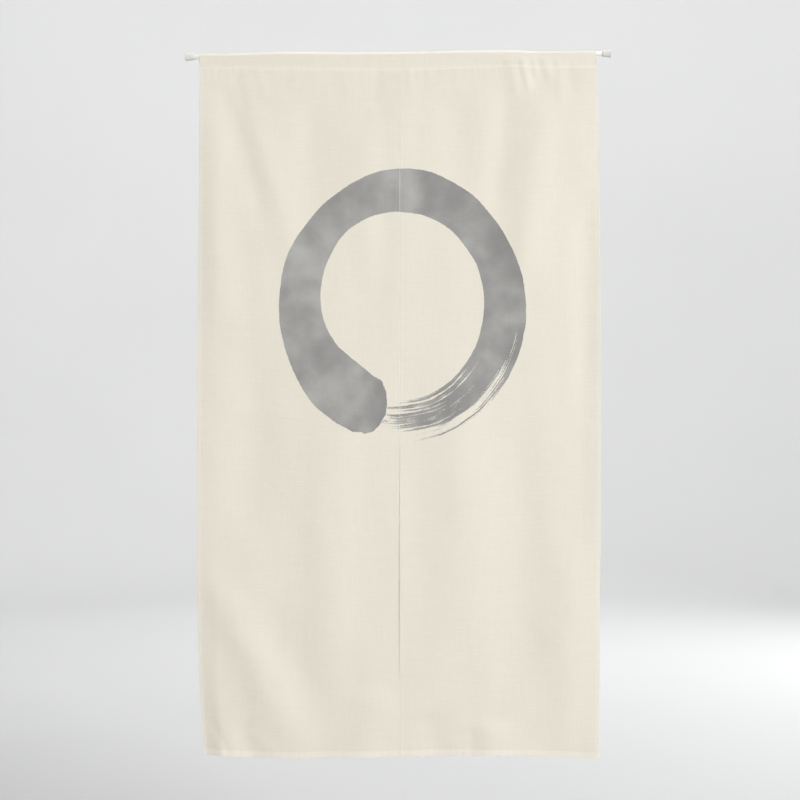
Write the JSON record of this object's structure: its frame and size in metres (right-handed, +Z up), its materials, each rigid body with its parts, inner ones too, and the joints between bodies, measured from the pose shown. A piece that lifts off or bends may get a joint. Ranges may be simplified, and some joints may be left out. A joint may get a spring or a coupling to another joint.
{
  "type": "noren curtain on a tension rod",
  "caption": "Doorway noren of plain off-white cloth, slit up the middle below a short sewn seam, hanging by its rod pocket from a telescopic tension rod with flared feet.",
  "frame": {"origin": "middle of the tension rod's axis", "axes": "+Z up, +X along the rod from the thick tube's foot to the thin tube's foot, -Y towards the viewer of the printed face"},
  "size_m": [0.904, 0.0245, 1.5055],
  "materials": {
    "cloth": "matt plain weave with uneven yarns",
    "tube": "white enamel, satin",
    "cap": "soft white plastic"
  },
  "bodies": {
    "root": {"panel_left": "cloth", "panel_right": "cloth", "rod_outer_tube": "tube", "rod_inner_tube": "tube", "end_cap_left": "cap", "end_cap_right": "cap"}
  },
  "joints": []
}
